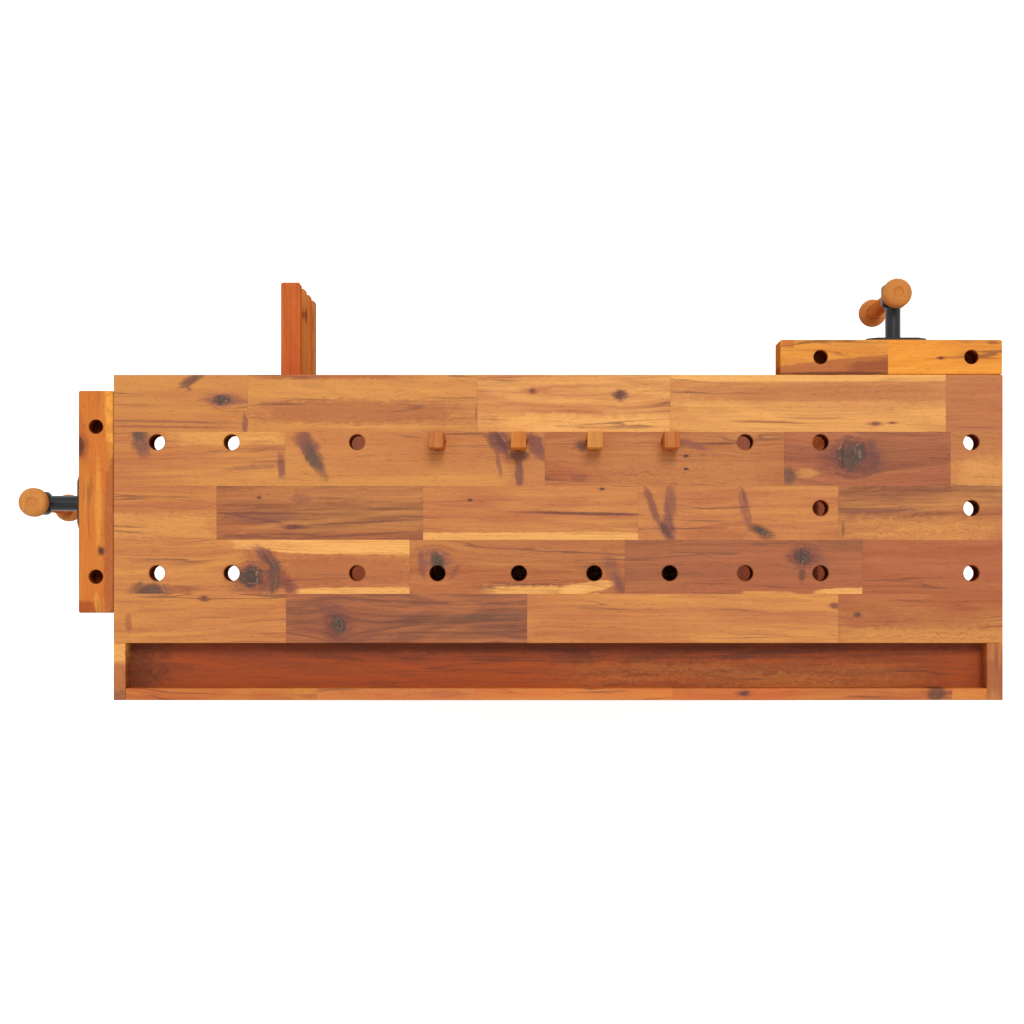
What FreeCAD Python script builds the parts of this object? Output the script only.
import FreeCAD, Part
import math
import os

# Workbench of oiled hardwood with a front vise, an end vise, a tool tray and a drawer.
# Millimetres, +Z up. The user stands at the -Y side, so +X is at the user's right.
# Pieces are drawn about the centre of the worktop with the floor at zero, and each is
# shifted once, when it is written, so that the origin lies under the middle of the whole.

# Worktop
TOP_LENGTH = 1120.0
TOP_HEIGHT = 830.0
TOP_THICKNESS = 36.0
STAVE_WIDTHS = (72.0, 68.0, 68.0, 68.0, 62.0)
JOINT_SHARES = (
    (0.064, 0.374, 0.591, 0.849),
    (0.059, 0.246, 0.515, 0.807),
    (0.185, 0.410, 0.652, 0.884),
    (0.158, 0.425, 0.667),
    (0.185, 0.535, 0.806),
)
STAVE_EASE = 1.2

# Holes for bench dogs, in rows along the top
HOLE_RADIUS = 10.0
HOLE_CHAMFER = 1.0
FRONT_ROW_INSET = 85.0
MIDDLE_ROW_INSET = 168.0
REAR_ROW_INSET = 250.0
END_HOLE_INSET_LEFT = 39.5
END_HOLE_INSET_RIGHT = 54.5
COLUMN_STEP_SHARES = (0.0, 2.0, 3.0, 4.0, 5.0, 6.0, 7.08, 8.145, 9.81, 10.8)
MIDDLE_ROW_COLUMNS = 2
DOG_COLUMNS = (3, 4, 5, 6)

# Tool tray behind the staves
TRAY_WELL = 57.0
TRAY_WALL = 15.0
TRAY_FLOOR = 6.0
TRAY_END_WALL_LEFT = 20.0
LEDGER_WIDTH = 22.0
LEDGER_HEIGHT = 18.0

# Rounding of the edges of sawn and planed boards
ARRIS = 1.0

# Aprons and end pieces under the worktop
APRON_HEIGHT = 60.0
APRON_THICKNESS = 28.0
CLEAT_THICKNESS = 14.0

# Trestles
BEARER_WIDTH = 32.0
BEARER_HEIGHT = 70.0
POST_WIDTH = 54.0
POST_DEPTH = 60.0
POST_INSET = 169.0
BEARER_OFFSET = 7.0
TENON_WIDTH = 18.0
TENON_DEPTH = 36.0
TENON_LENGTH = 28.0
TENON_CLEARANCE = 0.2
SIDE_RAIL_THICKNESS = 22.0
SIDE_RAIL_HEIGHT = 90.0
SHELF_HEIGHT = 180.0
FOOT_SET_BACK = 3.0
FOOT_WIDTH = 60.0
FOOT_HEIGHT = 58.0
FOOT_BEVEL = 26.0
PAD_HEIGHT = 8.0
PAD_LENGTH = 70.0
PAD_WIDTH = 50.0
EDGE_ROUND = 2.5

# Stretchers and shelf
STRETCHER_THICKNESS = 24.0
STRETCHER_HEIGHT = 80.0
STRETCHER_SET_IN = 4.0
STUB_LENGTH = 10.0
SLAT_THICKNESS = 15.0
SLAT_COUNT = 9
SLAT_GAP = 7.25
SLAT_OVERHANG = 8.0
SLAT_END_GAP = 2.0

# Bolts that hold the stretchers to the posts
BOLT_RADIUS = 4.0
BOLT_HEAD_RADIUS = 7.5
BOLT_HEAD_HEIGHT = 6.0
BOLT_LENGTH_IN_STRETCHER = 60.0
BARREL_RADIUS = 6.0
SOCKET_WIDTH = 5.0
SOCKET_DEPTH = 3.5
SOCKET_SIDES = 6

# Drawer and its case
CASE_MARGIN = 17.9
CASE_WALL = 15.0
CASE_HEIGHT = 120.0
RUNNER_WIDTH = 16.0
RUNNER_HEIGHT = 12.0
DRAWER_GAP = 1.0
DRAWER_SIDE_GAP = 1.5
DRAWER_SEAT = 0.3
DRAWER_FRONT_THICKNESS = 18.0
DRAWER_WALL = 12.0
DRAWER_WALL_HEIGHT = 84.0
DRAWER_BOTTOM = 5.0
DRAWER_BOTTOM_LIFT = 6.0
DRAWER_GROOVE = 5.0
DRAWER_END_GAP = 4.0
PULL_WIDTH = 100.0
PULL_DEPTH = 24.0
PULL_CORNER = 20.0

# Vises: both have the same hardware
JAW_LENGTH = 280.0
JAW_THICKNESS = 44.0
JAW_HEIGHT = 92.0
JAW_END_HEIGHT = 50.0
JAW_CORNER_CUT = 46.0
JAW_ROUND = 2.5
JAW_GAP = 0.3
JAW_HOLE_RADIUS = 9.0
JAW_HOLE_DEPTH = 34.0
JAW_HOLE_CHAMFER = 0.8
JAW_HOLE_PITCH_FRONT = 190.0
JAW_HOLE_PITCH_TAIL = 189.0
VISE_HEAD_ROOM = 2.2
FRONT_VISE_INSET = 130.0
FRONT_JAW_OFFSET = 10.5
FRONT_HOLE_OFFSET = 4.5
TAIL_VISE_INSET = 160.0
ROD_RADIUS = 6.0
ROD_CLEARANCE = 0.06
ROD_END_GAP = 12.0
FRONT_ROD_OFFSET = 73.0
TAIL_ROD_OFFSET = 52.0
ROD_END_CHAMFER = 1.0
SOCKET_SHARE = 0.66
SCREW_RADIUS = 9.8
SCREW_CLEARANCE = 0.4
HANDLE_OFFSET = 61.0
HUB_RADIUS = 15.0
HUB_LENGTH = 30.0
HUB_FLARE = 6.0
COLLAR_RADIUS = 14.0
COLLAR_LENGTH = 5.0
COLLAR_GAP = 0.3
BAR_RADIUS = 9.5
BAR_CLEARANCE = 0.3
KNOB_RADIUS = 18.4
KNOB_HEIGHT = 27.0
KNOB_ROUND = 8.0
KNOB_DIMPLE_RADIUS = 6.5
KNOB_DIMPLE_DEPTH = 2.0
KNOB_SEAT = 0.3
KNOB_SPACING = 183.0
PLATE_SIZE = 76.0
PLATE_THICKNESS = 4.0
PLATE_CORNER = 12.0
PLATE_EASE = 0.6
PLATE_SCREW_INSET = 12.0
SCREW_SHANK_RADIUS = 2.5
SCREW_SHANK_LENGTH = 25.0
SCREW_HEAD_RADIUS = 5.0
SCREW_HEAD_HEIGHT = 2.6
SCREW_SLOT_WIDTH = 1.2
SCREW_SLOT_DEPTH = 1.2
GUIDE_DEPTH = 32.0
GUIDE_HEIGHT = 42.0
GUIDE_WALL = 6.0
NUT_RADIUS = 15.0
NUT_FLANGE_RADIUS = 19.0
NUT_FLANGE_THICKNESS = 5.0
NUT_BOSS_LENGTH = 28.0

# Bench dogs
DOG_HEAD_WIDTH = 19.0
DOG_HEAD_DEPTH = 20.0
DOG_HEAD_HEIGHT = 45.0
DOG_SHANK_RADIUS = 9.7
DOG_SHANK_LENGTH = 52.0
DOG_ROUND = 1.2
DOG_SEAT = 0.3

# Stepped rest that carries the far end of a long board
REST_THICKNESS = 25.0
REST_TOP_DEPTH = 110.0
REST_STEP_PITCH = 54.5
REST_FINGER_HEIGHT = 22.0
REST_STEPS = 4
REST_REACH = 133.5
REST_ROUND = 3.0
REST_BOLTS = 3

# One overrun serves all cuts that pass through a face
OVER = 1.0

# Places worked out from the sizes
TOP_DEPTH = sum(STAVE_WIDTHS) + TRAY_WELL + TRAY_WALL
HALF_LENGTH = TOP_LENGTH / 2
FRONT = -TOP_DEPTH / 2
REAR = TOP_DEPTH / 2
SLAB_REAR = FRONT + sum(STAVE_WIDTHS)
HOLE_SPAN = TOP_LENGTH - END_HOLE_INSET_LEFT - END_HOLE_INSET_RIGHT
HOLE_PITCH = HOLE_SPAN / COLUMN_STEP_SHARES[-1]
HOLE_COLUMNS = [-HALF_LENGTH + END_HOLE_INSET_LEFT + HOLE_PITCH * share for share in COLUMN_STEP_SHARES]
UNDERSIDE = TOP_HEIGHT - TOP_THICKNESS
APRON_BOTTOM = UNDERSIDE - APRON_HEIGHT
BEARER_BOTTOM = UNDERSIDE - BEARER_HEIGHT
BEARER_REAR = REAR - APRON_THICKNESS
FOOT_TOP = PAD_HEIGHT + FOOT_HEIGHT
FOOT_LENGTH = TOP_DEPTH - 2 * FOOT_SET_BACK
POST_CENTRE = HALF_LENGTH - POST_INSET
TRESTLE_CENTRE = POST_CENTRE - BEARER_OFFSET
POST_INNER = POST_CENTRE - POST_WIDTH / 2
POST_OUTER = POST_CENTRE + POST_WIDTH / 2
POST_FRONT = FRONT + APRON_THICKNESS
CASE_HALF = HOLE_COLUMNS[DOG_COLUMNS[-1]] + HOLE_RADIUS + CASE_MARGIN + CASE_WALL
CASE_REAR = SLAB_REAR - LEDGER_WIDTH / 2
VISE_AXIS = UNDERSIDE - VISE_HEAD_ROOM - SCREW_RADIUS
FRONT_VISE_CENTRE = -HALF_LENGTH + FRONT_VISE_INSET
TAIL_VISE_CENTRE = FRONT + TAIL_VISE_INSET
ROD_INNER_LENGTH = HALF_LENGTH - TRESTLE_CENTRE - BEARER_WIDTH / 2 - ROD_END_GAP
HANDLE_REACH = HALF_LENGTH + JAW_GAP + JAW_THICKNESS + HANDLE_OFFSET + KNOB_RADIUS
REST_FRONT = FRONT - REST_REACH
SHIFT = FreeCAD.Vector(
    (HALF_LENGTH - HANDLE_REACH) / 2,
    -(REST_FRONT + max(REAR, FOOT_LENGTH / 2)) / 2,
    0,
)

# Two directions count as parallel when their cosine is above this share
PARALLEL_SHARE = math.cos(math.radians(1))

AXES = {
    "x": FreeCAD.Vector(1, 0, 0),
    "y": FreeCAD.Vector(0, 1, 0),
    "z": FreeCAD.Vector(0, 0, 1),
}


def block(low, high):
    """A box between two opposite corners."""
    low = FreeCAD.Vector(*low)
    high = FreeCAD.Vector(*high)
    size = high - low
    return Part.makeBox(size.x, size.y, size.z, low)


def rod(start, axis, radius, length):
    """A round bar from a point, along a named axis; a negative length runs backwards."""
    direction = AXES[axis] if length > 0 else AXES[axis] * -1
    return Part.makeCylinder(radius, abs(length), FreeCAD.Vector(*start), direction)


def cone(start, axis, radius_low, radius_high, length):
    """A tapered bar from a point, along a named axis."""
    direction = AXES[axis] if length > 0 else AXES[axis] * -1
    return Part.makeCone(radius_low, radius_high, abs(length), FreeCAD.Vector(*start), direction)


def prism(points, direction):
    """A flat outline of points, pushed along a vector."""
    corners = [FreeCAD.Vector(*point) for point in points]
    wire = Part.makePolygon(corners + [corners[0]])
    return Part.Face(wire).extrude(FreeCAD.Vector(*direction))


def eased(shape, size, direction=None):
    """Round the long straight edges, or only those along one named axis."""
    edges = []
    for edge in shape.Edges:
        if not isinstance(edge.Curve, Part.Line):
            continue
        along = edge.tangentAt(edge.FirstParameter)
        if direction is None or abs(along.dot(AXES[direction])) > PARALLEL_SHARE:
            edges.append(edge)
    return shape.makeFillet(size, edges)


def board(low, high):
    """A planed board between two opposite corners, with its edges eased."""
    return eased(block(low, high), ARRIS)


def save(name, shapes):
    """Write one node, moved to the shared origin."""
    shapes = shapes if isinstance(shapes, list) else [shapes]
    solids = []
    for shape in shapes:
        moved = shape.copy()
        moved.translate(SHIFT)
        solids += moved.Solids
    for solid in solids:
        if not solid.isValid():
            raise ValueError("solid of " + name + " is not valid")
    whole = solids[0] if len(solids) == 1 else Part.makeCompound(solids)
    whole.exportStep("parts/" + name + ".step")
    print(name, len(solids), round(whole.Volume))


def hole_rows():
    """Dog holes as rows: (Y, list of X)."""
    return [
        (FRONT + FRONT_ROW_INSET, HOLE_COLUMNS),
        (FRONT + MIDDLE_ROW_INSET, HOLE_COLUMNS[:MIDDLE_ROW_COLUMNS]),
        (FRONT + REAR_ROW_INSET, HOLE_COLUMNS),
    ]


def reaches(place, low, high):
    """Whether a hole centred at a place cuts into the span from low to high."""
    reach = HOLE_RADIUS + HOLE_CHAMFER
    return low - reach < place < high + reach


def dog_hole(x, y):
    """The cutter of one dog hole, with its chamfered mouth."""
    bore = rod((x, y, UNDERSIDE - OVER), "z", HOLE_RADIUS, TOP_THICKNESS + OVER + OVER)
    mouth = cone(
        (x, y, TOP_HEIGHT - HOLE_CHAMFER),
        "z",
        HOLE_RADIUS,
        HOLE_RADIUS + HOLE_CHAMFER,
        HOLE_CHAMFER,
    )
    return bore.fuse(mouth)


def build_staves():
    """Five rows of staves, glued edge to edge, each row of butted lengths."""
    near = FRONT
    for row, width in enumerate(STAVE_WIDTHS):
        far = near + width
        marks = [-HALF_LENGTH]
        marks += [-HALF_LENGTH + TOP_LENGTH * share for share in JOINT_SHARES[row]]
        marks += [HALF_LENGTH]
        staves = []
        for left, right in zip(marks, marks[1:]):
            stave = ease_outline(block((left, near, UNDERSIDE), (right, far, TOP_HEIGHT)))
            for y, columns in hole_rows():
                for x in columns:
                    if reaches(y, near, far) and reaches(x, left, right):
                        stave = stave.cut(dog_hole(x, y))
            staves.append(stave)
        save("top_stave_row_" + str(row + 1), staves)
        near = far


def ease_outline(stave):
    """Round those edges of a stave that lie on the outline of the whole slab."""
    edges = []
    for edge in stave.Edges:
        middle = edge.CenterOfMass
        on_side = min(abs(middle.y - FRONT), abs(middle.y - SLAB_REAR)) < OVER / 2
        on_end = abs(abs(middle.x) - HALF_LENGTH) < OVER / 2
        upright_edge = abs(edge.tangentAt(edge.FirstParameter).z) > PARALLEL_SHARE
        if (on_side and on_end) if upright_edge else (on_side or on_end):
            edges.append(edge)
    return stave.makeFillet(STAVE_EASE, edges) if edges else stave


def build_tray():
    """The tool tray: two end walls, a back, a thin floor and the ledger that carries it."""
    well_rear = SLAB_REAR + TRAY_WELL
    left_inside = -HALF_LENGTH + TRAY_END_WALL_LEFT
    right_inside = HALF_LENGTH - TRAY_WALL
    save("tray_end_left", board((-HALF_LENGTH, SLAB_REAR, UNDERSIDE), (left_inside, REAR, TOP_HEIGHT)))
    save("tray_end_right", board((right_inside, SLAB_REAR, UNDERSIDE), (HALF_LENGTH, REAR, TOP_HEIGHT)))
    save("tray_back", board((left_inside, well_rear, UNDERSIDE), (right_inside, REAR, TOP_HEIGHT)))
    floor = block(
        (left_inside, SLAB_REAR, UNDERSIDE),
        (right_inside, well_rear, UNDERSIDE + TRAY_FLOOR),
    )
    save("tray_floor", floor)
    ledgers = []
    spans = (
        (-HALF_LENGTH + CLEAT_THICKNESS, -TRESTLE_CENTRE - BEARER_WIDTH / 2),
        (-TRESTLE_CENTRE + BEARER_WIDTH / 2, TRESTLE_CENTRE - BEARER_WIDTH / 2),
        (TRESTLE_CENTRE + BEARER_WIDTH / 2, HALF_LENGTH - APRON_THICKNESS),
    )
    for left, right in spans:
        ledgers.append(
            board(
                (left, SLAB_REAR - LEDGER_WIDTH / 2, UNDERSIDE - LEDGER_HEIGHT),
                (right, SLAB_REAR + LEDGER_WIDTH / 2, UNDERSIDE),
            )
        )
    save("tray_ledger", ledgers)


def vise_holes(axis_point, axis, rod_offset, shape):
    """Cut the screw's and the guide rods' holes right through a piece of wood."""
    x, y = axis_point
    reach = HALF_LENGTH
    along_y = axis == "y"
    start = (x, y - reach, VISE_AXIS) if along_y else (x - reach, y, VISE_AXIS)
    shape = shape.cut(rod(start, axis, SCREW_RADIUS + SCREW_CLEARANCE, reach + reach))
    for side in (-1, 1):
        if along_y:
            place = (x + side * rod_offset, y - reach, VISE_AXIS)
        else:
            place = (x - reach, y + side * rod_offset, VISE_AXIS)
        shape = shape.cut(rod(place, axis, ROD_RADIUS + ROD_CLEARANCE, reach + reach))
    return shape


def build_aprons():
    """Boards on edge under the worktop; the drawer sits between the two front ones."""
    front_rear = FRONT + APRON_THICKNESS
    left = board((-HALF_LENGTH, FRONT, APRON_BOTTOM), (-CASE_HALF, front_rear, UNDERSIDE))
    left = vise_holes((FRONT_VISE_CENTRE, FRONT), "y", FRONT_ROD_OFFSET, left)
    save("front_apron_left", left)
    save("front_apron_right", board((CASE_HALF, FRONT, APRON_BOTTOM), (HALF_LENGTH, front_rear, UNDERSIDE)))
    rear = board((-HALF_LENGTH, BEARER_REAR, APRON_BOTTOM), (HALF_LENGTH, REAR, UNDERSIDE))
    save("rear_apron", rear)
    right_end = board(
        (HALF_LENGTH - APRON_THICKNESS, front_rear, APRON_BOTTOM),
        (HALF_LENGTH, BEARER_REAR, UNDERSIDE),
    )
    right_end = vise_holes((HALF_LENGTH, TAIL_VISE_CENTRE), "x", TAIL_ROD_OFFSET, right_end)
    save("end_apron", right_end)
    cleat = board(
        (-HALF_LENGTH, front_rear, APRON_BOTTOM),
        (-HALF_LENGTH + CLEAT_THICKNESS, BEARER_REAR, UNDERSIDE),
    )
    save("end_cleat", cleat)


def tenon(x, y, z_low, z_high, slack):
    """A tenon or, with some slack, the mortise that takes it."""
    return block(
        (x - TENON_WIDTH / 2 - slack, y - TENON_DEPTH / 2 - slack, z_low),
        (x + TENON_WIDTH / 2 + slack, y + TENON_DEPTH / 2 + slack, z_high),
    )


def build_trestles():
    """Each trestle is a top bearer, two posts, an outer side rail and a sled foot."""
    post_y = (POST_FRONT + POST_DEPTH / 2, -POST_FRONT - POST_DEPTH / 2)
    rail_top = SHELF_HEIGHT + SIDE_RAIL_THICKNESS / 2
    for side, word in ((-1, "left"), (1, "right")):
        bearer = board(
            (side * TRESTLE_CENTRE - BEARER_WIDTH / 2, POST_FRONT, BEARER_BOTTOM),
            (side * TRESTLE_CENTRE + BEARER_WIDTH / 2, BEARER_REAR, UNDERSIDE),
        )
        foot = sled_foot(side * POST_CENTRE)
        for y, end in zip(post_y, ("front", "rear")):
            mortise_top = BEARER_BOTTOM + TENON_LENGTH + TENON_CLEARANCE
            bearer = bearer.cut(
                tenon(side * TRESTLE_CENTRE, y, BEARER_BOTTOM - OVER, mortise_top, TENON_CLEARANCE)
            )
            mortise_low = FOOT_TOP - TENON_LENGTH - TENON_CLEARANCE
            foot = foot.cut(
                tenon(side * POST_CENTRE, y, mortise_low, FOOT_TOP + OVER, TENON_CLEARANCE)
            )
            save("post_" + end + "_" + word, post(side, y))
        save("bearer_" + word, bearer)
        save("sled_foot_" + word, foot)
        inner = side * POST_OUTER
        outer = side * (POST_OUTER + SIDE_RAIL_THICKNESS)
        rail = block(
            (min(inner, outer), POST_FRONT, rail_top - SIDE_RAIL_HEIGHT),
            (max(inner, outer), -POST_FRONT, rail_top),
        )
        save("side_rail_" + word, eased(rail, EDGE_ROUND, "y"))


def stretcher_span(y_side):
    """Near and far Y of a stretcher, set in from the outer face of the posts."""
    outer = y_side * (-POST_FRONT - STRETCHER_SET_IN)
    inner = outer - y_side * STRETCHER_THICKNESS
    return min(inner, outer), max(inner, outer)


def post(side, y):
    """A square post with a tenon at each end, a stub mortise and a bolt hole."""
    x = side * POST_CENTRE
    y_side = 1 if y > 0 else -1
    body = block(
        (x - POST_WIDTH / 2, y - POST_DEPTH / 2, FOOT_TOP),
        (x + POST_WIDTH / 2, y + POST_DEPTH / 2, BEARER_BOTTOM),
    )
    body = eased(body, EDGE_ROUND, "z")
    body = body.fuse(
        tenon(side * TRESTLE_CENTRE, y, BEARER_BOTTOM, BEARER_BOTTOM + TENON_LENGTH, 0)
    )
    body = body.fuse(tenon(x, y, FOOT_TOP - TENON_LENGTH, FOOT_TOP, 0))
    near, far = stretcher_span(y_side)
    stretcher_top = SHELF_HEIGHT - SLAT_THICKNESS
    inner_face = side * POST_INNER
    deep = inner_face + side * (STUB_LENGTH + TENON_CLEARANCE)
    stub = block(
        (min(inner_face - side * OVER, deep), near + STUB_LENGTH / 2 - TENON_CLEARANCE,
         stretcher_top - STRETCHER_HEIGHT + STUB_LENGTH - TENON_CLEARANCE),
        (max(inner_face - side * OVER, deep), far - STUB_LENGTH / 2 + TENON_CLEARANCE,
         stretcher_top - STUB_LENGTH + TENON_CLEARANCE),
    )
    body = body.cut(stub)
    bolt_y = (near + far) / 2
    bolt_z = stretcher_top - STRETCHER_HEIGHT / 2
    start = x - POST_WIDTH / 2 - OVER
    length = POST_WIDTH + OVER + OVER
    hole = rod((start, bolt_y, bolt_z), "x", BOLT_RADIUS + TENON_CLEARANCE, length)
    seat_radius = BOLT_HEAD_RADIUS + TENON_CLEARANCE
    seat = rod((side * POST_OUTER, bolt_y, bolt_z), "x", seat_radius, -side * BOLT_HEAD_HEIGHT)
    body = body.cut(hole).cut(seat)
    if side > 0 and y < 0:
        for z in rest_bolt_heights():
            body = body.cut(rest_bolt_hole(y, z))
    return body


def sled_foot(x):
    """A foot beam whose upper front and rear corners are bevelled."""
    half = FOOT_LENGTH / 2
    outline = (
        (x - FOOT_WIDTH / 2, -half, PAD_HEIGHT),
        (x - FOOT_WIDTH / 2, half, PAD_HEIGHT),
        (x - FOOT_WIDTH / 2, half, FOOT_TOP - FOOT_BEVEL),
        (x - FOOT_WIDTH / 2, half - FOOT_BEVEL, FOOT_TOP),
        (x - FOOT_WIDTH / 2, -half + FOOT_BEVEL, FOOT_TOP),
        (x - FOOT_WIDTH / 2, -half, FOOT_TOP - FOOT_BEVEL),
    )
    return eased(prism(outline, (FOOT_WIDTH, 0, 0)), EDGE_ROUND, "y")


def build_pads():
    """A wooden pad under each end of each sled foot."""
    pads = []
    for side in (-1, 1):
        for end in (-1, 1):
            centre = end * (FOOT_LENGTH / 2 - PAD_LENGTH / 2)
            pads.append(
                block(
                    (side * POST_CENTRE - PAD_WIDTH / 2, centre - PAD_LENGTH / 2, 0),
                    (side * POST_CENTRE + PAD_WIDTH / 2, centre + PAD_LENGTH / 2, PAD_HEIGHT),
                )
            )
    save("foot_pads", pads)


def build_stretchers():
    """Two long rails between the trestles, each bolted through the posts."""
    top = SHELF_HEIGHT - SLAT_THICKNESS
    bolt_z = top - STRETCHER_HEIGHT / 2
    bolt_hole_radius = BOLT_RADIUS + TENON_CLEARANCE
    bolts = []
    for y_side, word in ((-1, "front"), (1, "rear")):
        near, far = stretcher_span(y_side)
        bolt_y = (near + far) / 2
        beam = block((-POST_INNER, near, top - STRETCHER_HEIGHT), (POST_INNER, far, top))
        beam = eased(beam, ARRIS, "x")
        for side in (-1, 1):
            face = side * POST_INNER
            tip = side * (POST_INNER + STUB_LENGTH)
            beam = beam.fuse(
                block(
                    (min(face, tip), near + STUB_LENGTH / 2, top - STRETCHER_HEIGHT + STUB_LENGTH),
                    (max(face, tip), far - STUB_LENGTH / 2, top - STUB_LENGTH),
                )
            )
            barrel_x = side * (POST_INNER - BOLT_LENGTH_IN_STRETCHER + BARREL_RADIUS + BARREL_RADIUS)
            bore_length = BOLT_LENGTH_IN_STRETCHER + STUB_LENGTH + OVER
            beam = beam.cut(
                rod((tip + side * OVER, bolt_y, bolt_z), "x", bolt_hole_radius, -side * bore_length)
            )
            across = far - near + OVER + OVER
            beam = beam.cut(rod((barrel_x, near - OVER, bolt_z), "y", BARREL_RADIUS, across))
            bolts += stretcher_bolt(side, bolt_y, bolt_z, barrel_x, near, far)
        save("stretcher_" + word, beam)
    save("frame_bolts", bolts)


def stretcher_bolt(side, y, z, barrel_x, near, far):
    """A socket-head bolt and the round nut that lies across the stretcher."""
    head_face = side * POST_OUTER
    inner_end = side * (POST_INNER - BOLT_LENGTH_IN_STRETCHER + BARREL_RADIUS)
    length = abs(head_face - inner_end)
    bolt = rod((inner_end, y, z), "x", BOLT_RADIUS, side * length)
    head = rod((head_face, y, z), "x", BOLT_HEAD_RADIUS, -side * BOLT_HEAD_HEIGHT)
    socket = hex_socket((head_face, y, z), side)
    nut = rod((barrel_x, near, z), "y", BARREL_RADIUS, far - near)
    nut = nut.cut(rod((inner_end - side * OVER, y, z), "x", BOLT_RADIUS, side * (length + OVER)))
    return [bolt.fuse(head).removeSplitter().cut(socket), nut]


def hex_socket(place, side):
    """The six-sided hole in a bolt's head."""
    x, y, z = place
    points = []
    for step in range(SOCKET_SIDES):
        angle = math.tau * step / SOCKET_SIDES
        points.append(
            (x, y + SOCKET_WIDTH / 2 * math.cos(angle), z + SOCKET_WIDTH / 2 * math.sin(angle))
        )
    return prism(points, (-side * SOCKET_DEPTH, 0, 0))


def build_shelf():
    """Slats from front to back, resting on both stretchers."""
    near = stretcher_span(-1)[0] - SLAT_OVERHANG
    far = stretcher_span(1)[1] + SLAT_OVERHANG
    left = -POST_INNER + SLAT_END_GAP
    width = (-2 * left - (SLAT_COUNT - 1) * SLAT_GAP) / SLAT_COUNT
    slats = []
    for number in range(SLAT_COUNT):
        start = left + number * (width + SLAT_GAP)
        slat = block(
            (start, near, SHELF_HEIGHT - SLAT_THICKNESS),
            (start + width, far, SHELF_HEIGHT),
        )
        slats.append(eased(slat, STAVE_EASE, "y"))
    save("shelf_slats", slats)


def build_case():
    """Two sides, a back and a pair of runners, hung under the worktop."""
    bottom = UNDERSIDE - CASE_HEIGHT
    front = FRONT + DRAWER_FRONT_THICKNESS + DRAWER_GAP
    sides = []
    runners = []
    for side in (-1, 1):
        outer = side * CASE_HALF
        inner = side * (CASE_HALF - CASE_WALL)
        sides.append(
            board(
                (min(outer, inner), front, bottom),
                (max(outer, inner), CASE_REAR, UNDERSIDE),
            )
        )
        lip = side * (CASE_HALF - CASE_WALL - RUNNER_WIDTH)
        runners.append(
            board(
                (min(inner, lip), front, bottom),
                (max(inner, lip), CASE_REAR - CASE_WALL, bottom + RUNNER_HEIGHT),
            )
        )
    save("drawer_case_sides", sides)
    save("drawer_runners", runners)
    inside = CASE_HALF - CASE_WALL
    save("drawer_case_back", board((-inside, CASE_REAR - CASE_WALL, bottom), (inside, CASE_REAR, UNDERSIDE)))


def build_drawer():
    """The drawer: a front with a finger notch, two sides, a back and a grooved-in bottom."""
    case_bottom = UNDERSIDE - CASE_HEIGHT
    seat = case_bottom + RUNNER_HEIGHT + DRAWER_SEAT
    wall_top = seat + DRAWER_WALL_HEIGHT
    half = CASE_HALF - CASE_WALL - DRAWER_SIDE_GAP
    front_rear = FRONT + DRAWER_FRONT_THICKNESS
    rear = CASE_REAR - CASE_WALL - DRAWER_END_GAP
    bottom_low = seat + DRAWER_BOTTOM_LIFT
    bottom_high = bottom_low + DRAWER_BOTTOM
    bottom = block(
        (-half + DRAWER_WALL - DRAWER_GROOVE, front_rear - DRAWER_GROOVE, bottom_low),
        (half - DRAWER_WALL + DRAWER_GROOVE, rear - DRAWER_WALL + DRAWER_GROOVE, bottom_high),
    )
    front_half = CASE_HALF - DRAWER_GAP
    front = block(
        (-front_half, FRONT, case_bottom),
        (front_half, front_rear, UNDERSIDE - DRAWER_GAP),
    )
    front = eased(front, STAVE_EASE)
    notch = block(
        (-PULL_WIDTH / 2, FRONT - OVER, UNDERSIDE - DRAWER_GAP - PULL_DEPTH),
        (PULL_WIDTH / 2, front_rear + OVER, UNDERSIDE),
    )
    lower_edges = [
        edge
        for edge in notch.Edges
        if abs(edge.tangentAt(edge.FirstParameter).y) > PARALLEL_SHARE
        and edge.CenterOfMass.z < UNDERSIDE - PULL_DEPTH / 2
    ]
    front = front.cut(notch.makeFillet(PULL_CORNER, lower_edges))
    save("drawer_front", front.cut(bottom))
    walls = []
    for side in (-1, 1):
        inner = side * (half - DRAWER_WALL)
        outer = side * half
        wall = board((min(inner, outer), front_rear, seat), (max(inner, outer), rear, wall_top))
        walls.append(wall.cut(bottom))
    save("drawer_sides", walls)
    inside = half - DRAWER_WALL
    back = board((-inside, rear - DRAWER_WALL, seat), (inside, rear, wall_top))
    save("drawer_back", back.cut(bottom))
    save("drawer_bottom", bottom)


def upright(axis, across, beyond, z):
    """A point from its distance across the vise and its distance out along the vise's axis.

    The front vise opens towards -Y from the worktop's front edge and the end vise opens
    towards +X from its right end.
    """
    if axis == "y":
        return (across, FRONT - beyond, z)
    return (HALF_LENGTH + beyond, across, z)


def along(axis, across, beyond, radius, length):
    """A round bar on the vise's level, running outwards when its length is positive."""
    outward = -length if axis == "y" else length
    return rod(upright(axis, across, beyond, VISE_AXIS), axis, radius, outward)


def slab_across(axis, across_low, across_high, beyond_low, beyond_high, z_low, z_high):
    """A box given in the vise's own directions."""
    one = upright(axis, across_low, beyond_low, z_low)
    two = upright(axis, across_high, beyond_high, z_high)
    low = [min(a, b) for a, b in zip(one, two)]
    high = [max(a, b) for a, b in zip(one, two)]
    return block(low, high)


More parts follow.
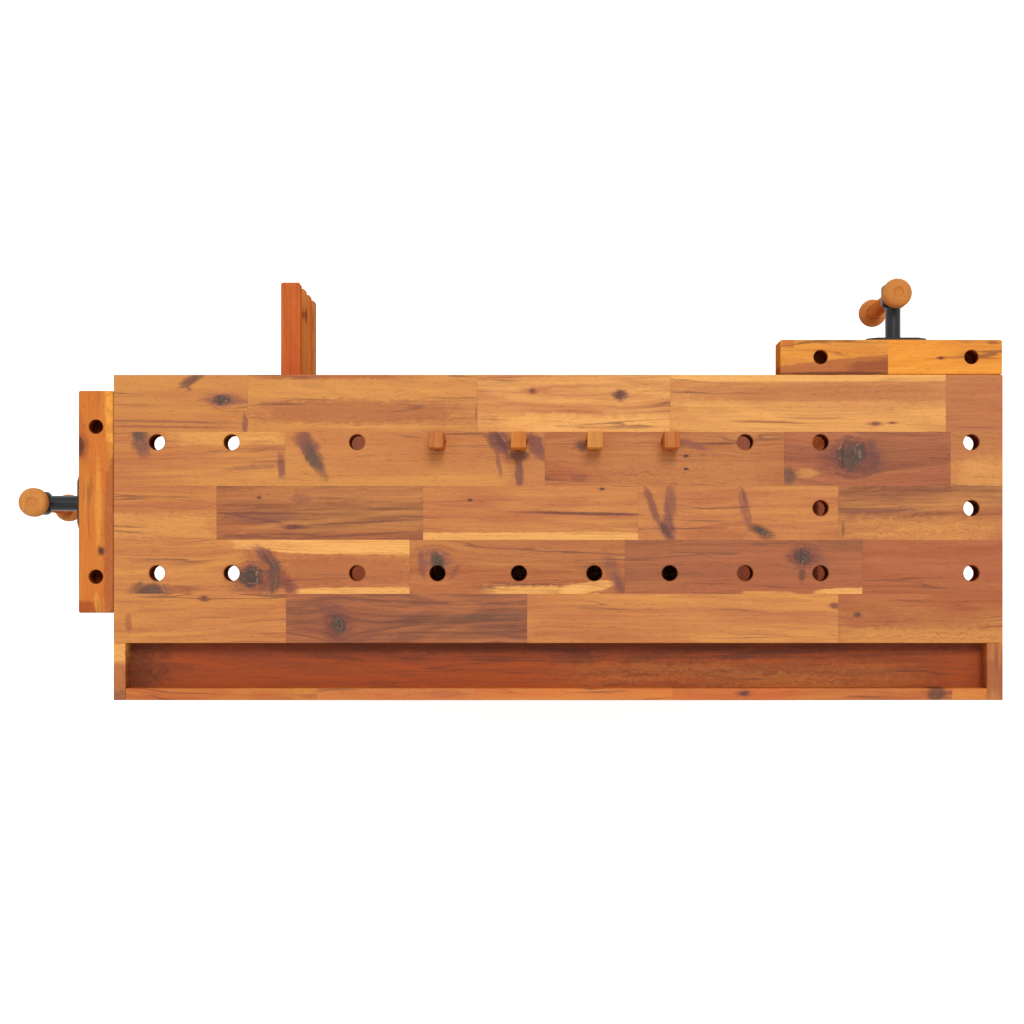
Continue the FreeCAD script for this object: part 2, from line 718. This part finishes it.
def jaw(axis, centre, screw, rod_offset, hole_centre, hole_pitch):
    """A moving jaw: lower corners cut away, blind dog holes, rod sockets and a screw hole."""
    near = JAW_GAP
    far = JAW_GAP + JAW_THICKNESS
    low = TOP_HEIGHT - JAW_HEIGHT
    shoulder = TOP_HEIGHT - JAW_END_HEIGHT
    left = centre - JAW_LENGTH / 2
    right = centre + JAW_LENGTH / 2
    outline = (
        (left, TOP_HEIGHT),
        (right, TOP_HEIGHT),
        (right, shoulder),
        (right - JAW_CORNER_CUT, low),
        (left + JAW_CORNER_CUT, low),
        (left, shoulder),
    )
    points = [upright(axis, across, near, z) for across, z in outline]
    start = FreeCAD.Vector(*upright(axis, 0, near, 0))
    push = FreeCAD.Vector(*upright(axis, 0, far, 0)) - start
    body = eased(prism(points, push), JAW_ROUND)
    for side in (-1, 1):
        across = hole_centre + side * hole_pitch / 2
        mouth = upright(axis, across, (near + far) / 2, TOP_HEIGHT + OVER)
        body = body.cut(rod(mouth, "z", JAW_HOLE_RADIUS, -JAW_HOLE_DEPTH - OVER))
        rim = upright(axis, across, (near + far) / 2, TOP_HEIGHT - JAW_HOLE_CHAMFER)
        wide = JAW_HOLE_RADIUS + JAW_HOLE_CHAMFER
        body = body.cut(cone(rim, "z", JAW_HOLE_RADIUS, wide, JAW_HOLE_CHAMFER))
        socket_depth = JAW_THICKNESS * SOCKET_SHARE
        body = body.cut(along(axis, screw + side * rod_offset, near - OVER, ROD_RADIUS, socket_depth))
    screw_hole = SCREW_RADIUS + SCREW_CLEARANCE
    body = body.cut(along(axis, screw, near - OVER, screw_hole, JAW_THICKNESS + OVER + OVER))
    pocket = COLLAR_LENGTH + COLLAR_GAP + COLLAR_GAP
    body = body.cut(along(axis, screw, far - pocket, COLLAR_RADIUS + SCREW_CLEARANCE, pocket + OVER))
    for across, z in plate_screw_places(screw):
        body = body.cut(
            rod(upright(axis, across, far + OVER, z), axis, SCREW_SHANK_RADIUS,
                (SCREW_SHANK_LENGTH + OVER) * (1 if axis == "y" else -1))
        )
    return body


def plate_screw_places(screw):
    """Centres of the four wood screws of a plate."""
    reach = PLATE_SIZE / 2 - PLATE_SCREW_INSET
    return [(screw + dx * reach, VISE_AXIS + dz * reach) for dx in (-1, 1) for dz in (-1, 1)]


def plate(axis, screw):
    """The steel plate on the jaw: square with its corners cut, bored for the screw."""
    near = JAW_GAP + JAW_THICKNESS
    half = PLATE_SIZE / 2
    cut = half - PLATE_CORNER
    outline = (
        (-half, -cut), (-cut, -half), (cut, -half), (half, -cut),
        (half, cut), (cut, half), (-cut, half), (-half, cut),
    )
    points = [upright(axis, screw + across, near, VISE_AXIS + rise) for across, rise in outline]
    start = FreeCAD.Vector(*upright(axis, 0, near, 0))
    push = FreeCAD.Vector(*upright(axis, 0, near + PLATE_THICKNESS, 0)) - start
    body = eased(prism(points, push), PLATE_EASE)
    screw_hole = SCREW_RADIUS + SCREW_CLEARANCE
    body = body.cut(along(axis, screw, near - OVER, screw_hole, PLATE_THICKNESS + OVER + OVER))
    for place in plate_screw_places(screw):
        body = body.cut(wood_screw_envelope(axis, place, near + PLATE_THICKNESS))
    return body


def wood_screw_envelope(axis, place, face):
    """Shank and countersunk head of a wood screw, whose head is flush with a face."""
    across, z = place
    inward = 1 if axis == "y" else -1
    head = cone(upright(axis, across, face, z), axis, SCREW_HEAD_RADIUS, SCREW_SHANK_RADIUS,
                inward * SCREW_HEAD_HEIGHT)
    shank = rod(upright(axis, across, face - SCREW_HEAD_HEIGHT, z), axis, SCREW_SHANK_RADIUS,
                inward * (SCREW_SHANK_LENGTH - SCREW_HEAD_HEIGHT))
    return head.fuse(shank)


def wood_screw(axis, place, face):
    """A countersunk wood screw with a cross slot."""
    across, z = place
    body = wood_screw_envelope(axis, place, face)
    for wide, tall in ((SCREW_HEAD_RADIUS, SCREW_SLOT_WIDTH), (SCREW_SLOT_WIDTH, SCREW_HEAD_RADIUS)):
        slot = slab_across(
            axis,
            across - wide / 2, across + wide / 2,
            face - SCREW_SLOT_DEPTH, face + OVER,
            z - tall / 2, z + tall / 2,
        )
        body = body.cut(slot)
    return body


def vise_screw(axis, screw):
    """The spindle: shaft, inner collar behind the plate and the bored hub at its outer end."""
    plate_back = JAW_GAP + JAW_THICKNESS
    hub_centre = plate_back + HANDLE_OFFSET
    length = ROD_INNER_LENGTH + hub_centre
    shaft = along(axis, screw, -ROD_INNER_LENGTH, SCREW_RADIUS, length)
    collar = along(axis, screw, plate_back - COLLAR_LENGTH - COLLAR_GAP, COLLAR_RADIUS, COLLAR_LENGTH)
    hub = along(axis, screw, hub_centre - HUB_LENGTH / 2, HUB_RADIUS, HUB_LENGTH)
    ends = [edge for edge in hub.Edges if isinstance(edge.Curve, Part.Circle)]
    hub = hub.makeFillet(HUB_FLARE, ends)
    body = shaft.fuse(collar).fuse(hub)
    x, y, z = upright(axis, screw, hub_centre, VISE_AXIS)
    eye = rod((x, y, z - HUB_RADIUS - OVER), "z", BAR_RADIUS + BAR_CLEARANCE,
              HUB_RADIUS + HUB_RADIUS + OVER + OVER)
    return body.cut(eye)


def handle_pieces(axis, screw):
    """The sliding bar and its two turned knobs, dropped so that the upper knob rests on the hub."""
    x, y, z = upright(axis, screw, JAW_GAP + JAW_THICKNESS + HANDLE_OFFSET, VISE_AXIS)
    upper = z + HUB_RADIUS + KNOB_SEAT + KNOB_HEIGHT / 2
    lower = upper - KNOB_SPACING
    bar = rod((x, y, lower), "z", BAR_RADIUS, KNOB_SPACING)
    return bar, [knob((x, y, upper), 1, bar), knob((x, y, lower), -1, bar)]


def knob(centre, outward, bar):
    """A turned knob, rounded at both rims, with a small dimple in its outer end."""
    x, y, z = centre
    body = rod((x, y, z - KNOB_HEIGHT / 2), "z", KNOB_RADIUS, KNOB_HEIGHT)
    rims = [edge for edge in body.Edges if isinstance(edge.Curve, Part.Circle)]
    body = body.makeFillet(KNOB_ROUND, rims)
    tip = z + outward * KNOB_HEIGHT / 2
    dimple = cone((x, y, tip), "z", KNOB_DIMPLE_RADIUS, KNOB_DIMPLE_RADIUS / 2, -outward * KNOB_DIMPLE_DEPTH)
    return body.cut(dimple).cut(bar)


def build_vise(word, axis, jaw_centre, screw, rod_offset, hole_centre, hole_pitch):
    """All pieces that move with one vise."""
    save(word + "_jaw", jaw(axis, jaw_centre, screw, rod_offset, hole_centre, hole_pitch))
    rods = []
    socket_end = JAW_GAP + JAW_THICKNESS * SOCKET_SHARE - OVER
    for side in (-1, 1):
        length = ROD_INNER_LENGTH + socket_end
        bar = along(axis, screw + side * rod_offset, -ROD_INNER_LENGTH, ROD_RADIUS, length)
        rims = [edge for edge in bar.Edges if isinstance(edge.Curve, Part.Circle)]
        rods.append(bar.makeChamfer(ROD_END_CHAMFER, rims))
    save(word + "_guide_rods", rods)
    save(word + "_jaw_plate", plate(axis, screw))
    face = JAW_GAP + JAW_THICKNESS + PLATE_THICKNESS
    save(word + "_plate_screws", [wood_screw(axis, place, face) for place in plate_screw_places(screw)])
    save(word + "_screw", vise_screw(axis, screw))
    bar, knobs = handle_pieces(axis, screw)
    save(word + "_handle_bar", bar)
    save(word + "_handle_knobs", knobs)


def guide_body(axis, across_low, across_high, screw, rod_offset):
    """A block screwed under the worktop behind the apron, bored for rods and screw."""
    body = slab_across(
        axis,
        across_low, across_high,
        -APRON_THICKNESS - GUIDE_DEPTH, -APRON_THICKNESS,
        UNDERSIDE - GUIDE_HEIGHT, UNDERSIDE,
    )
    body = eased(body, ARRIS)
    place = upright(axis, screw, 0, VISE_AXIS)
    body = vise_holes(place[:2], axis, rod_offset, body)
    inner_face = -APRON_THICKNESS - GUIDE_DEPTH
    return body.cut(along(axis, screw, inner_face, NUT_RADIUS, NUT_BOSS_LENGTH))


def build_guides():
    """Guide blocks for both vises and the flanged nuts let into them."""
    bearer_outer = -TRESTLE_CENTRE - BEARER_WIDTH / 2
    bearer_inner = -TRESTLE_CENTRE + BEARER_WIDTH / 2
    outer_rod = FRONT_VISE_CENTRE - FRONT_ROD_OFFSET
    inner_rod = FRONT_VISE_CENTRE + FRONT_ROD_OFFSET
    beside_rod = ROD_RADIUS + GUIDE_WALL
    blocks = [
        guide_body("y", outer_rod - beside_rod, bearer_outer, FRONT_VISE_CENTRE, FRONT_ROD_OFFSET),
        guide_body("y", bearer_inner, inner_rod + beside_rod, FRONT_VISE_CENTRE, FRONT_ROD_OFFSET),
    ]
    save("front_guide_blocks", blocks)
    low = TAIL_VISE_CENTRE - TAIL_ROD_OFFSET - beside_rod
    high = TAIL_VISE_CENTRE + TAIL_ROD_OFFSET + beside_rod
    save("tail_guide_block", guide_body("x", low, high, TAIL_VISE_CENTRE, TAIL_ROD_OFFSET))
    nuts = []
    for axis, screw in (("y", FRONT_VISE_CENTRE), ("x", TAIL_VISE_CENTRE)):
        inner_face = -APRON_THICKNESS - GUIDE_DEPTH
        outer_face = inner_face - NUT_FLANGE_THICKNESS
        length = NUT_FLANGE_THICKNESS + NUT_BOSS_LENGTH
        boss = along(axis, screw, outer_face, NUT_RADIUS, length)
        flange = along(axis, screw, outer_face, NUT_FLANGE_RADIUS, NUT_FLANGE_THICKNESS)
        bore = along(axis, screw, outer_face - OVER, SCREW_RADIUS + SCREW_CLEARANCE, length + OVER + OVER)
        nut = boss.fuse(flange).removeSplitter()
        head_room = block(
            (-HALF_LENGTH, FRONT, UNDERSIDE - STAVE_EASE),
            (HALF_LENGTH, REAR, TOP_HEIGHT),
        )
        nuts.append(nut.cut(bore).cut(head_room))
    save("vise_nuts", nuts)


def build_dogs():
    """Four bench dogs with square heads, standing in the front row."""
    y = FRONT + FRONT_ROW_INSET
    for number, column in enumerate(DOG_COLUMNS):
        x = HOLE_COLUMNS[column]
        base = TOP_HEIGHT + DOG_SEAT
        head = block(
            (x - DOG_HEAD_WIDTH / 2, y - DOG_HEAD_DEPTH / 2, base),
            (x + DOG_HEAD_WIDTH / 2, y + DOG_HEAD_DEPTH / 2, base + DOG_HEAD_HEIGHT),
        )
        head = eased(head, DOG_ROUND)
        shank = rod((x, y, base - DOG_SHANK_LENGTH), "z", DOG_SHANK_RADIUS, DOG_SHANK_LENGTH + DOG_ROUND)
        rim = [
            edge
            for edge in shank.Edges
            if isinstance(edge.Curve, Part.Circle) and edge.CenterOfMass.z < base - DOG_SHANK_LENGTH / 2
        ]
        shank = shank.makeChamfer(DOG_ROUND, rim)
        collar = block(
            (x - DOG_HEAD_WIDTH / 2, y - DOG_HEAD_DEPTH / 2, base - DOG_SHANK_LENGTH - OVER),
            (x + DOG_HEAD_WIDTH / 2, y + DOG_HEAD_DEPTH / 2, base + DOG_ROUND + OVER),
        )
        save("bench_dog_" + str(number + 1), head.fuse(shank.common(collar)))


def rest_bolt_heights():
    """Heights of the bolts through the rest and its post."""
    top = TOP_HEIGHT - REST_TOP_DEPTH
    height = REST_STEP_PITCH * (REST_STEPS - 1) + REST_FINGER_HEIGHT
    return [top - height * (number + 1 / 2) / REST_BOLTS for number in range(REST_BOLTS)]


def rest_bolt_hole(y, z):
    """Bolt hole and head seat through the rest and the right front post."""
    start = POST_INNER - REST_THICKNESS - OVER
    length = POST_OUTER + OVER - start
    hole = rod((start, y, z), "x", BOLT_RADIUS + TENON_CLEARANCE, length)
    seat_radius = BOLT_HEAD_RADIUS + TENON_CLEARANCE
    return hole.fuse(rod((POST_OUTER + OVER, y, z), "x", seat_radius, -BOLT_HEAD_HEIGHT - OVER))


def build_rest():
    """The stepped rest: a comb of four fingers, bolted to the right front post."""
    inner = POST_INNER - REST_THICKNESS
    top = TOP_HEIGHT - REST_TOP_DEPTH
    bottom = top - REST_STEP_PITCH * (REST_STEPS - 1) - REST_FINGER_HEIGHT
    rear = POST_FRONT + POST_DEPTH
    comb = block((inner, REST_FRONT, bottom), (POST_INNER, rear, top))
    for step in range(REST_STEPS - 1):
        high = top - REST_STEP_PITCH * step - REST_FINGER_HEIGHT
        low = top - REST_STEP_PITCH * (step + 1)
        gap = block((inner - OVER, REST_FRONT - OVER, low), (POST_INNER + OVER, POST_FRONT, high))
        comb = comb.cut(gap)
    comb = eased(comb, ARRIS, "y")
    tips = [
        edge
        for edge in comb.Edges
        if abs(edge.CenterOfMass.y - REST_FRONT) < OVER / 2
        and abs(edge.tangentAt(edge.FirstParameter).x) > PARALLEL_SHARE
    ]
    comb = comb.makeFillet(REST_ROUND, tips)
    y = POST_FRONT + POST_DEPTH / 2
    bolts = []
    for z in rest_bolt_heights():
        comb = comb.cut(rest_bolt_hole(y, z))
        bolts.append(rest_bolt(inner, y, z))
    save("board_rest", comb)
    save("board_rest_bolts", bolts)


def rest_bolt(inner, y, z):
    """A bolt with a sunk socket head at the outer face and a domed cap nut inside."""
    head = rod((POST_OUTER, y, z), "x", BOLT_HEAD_RADIUS, -BOLT_HEAD_HEIGHT)
    shank = rod((inner, y, z), "x", BOLT_RADIUS, POST_OUTER - inner)
    cap = rod((inner, y, z), "x", BOLT_HEAD_RADIUS, -BOLT_HEAD_HEIGHT)
    rim = [edge for edge in cap.Edges if edge.CenterOfMass.x < inner - BOLT_HEAD_HEIGHT / 2]
    cap = cap.makeFillet(BOLT_HEAD_HEIGHT / 2, [e for e in rim if isinstance(e.Curve, Part.Circle)])
    return head.fuse(shank).fuse(cap).removeSplitter().cut(hex_socket((POST_OUTER, y, z), 1))


os.makedirs("parts", exist_ok=True)
build_staves()
build_tray()
build_aprons()
build_trestles()
build_pads()
build_stretchers()
build_shelf()
build_case()
build_drawer()
build_vise(
    "front", "y", FRONT_VISE_CENTRE + FRONT_JAW_OFFSET, FRONT_VISE_CENTRE, FRONT_ROD_OFFSET,
    FRONT_VISE_CENTRE + FRONT_HOLE_OFFSET, JAW_HOLE_PITCH_FRONT,
)
build_vise(
    "tail", "x", TAIL_VISE_CENTRE, TAIL_VISE_CENTRE, TAIL_ROD_OFFSET,
    TAIL_VISE_CENTRE, JAW_HOLE_PITCH_TAIL,
)
build_guides()
build_dogs()
build_rest()
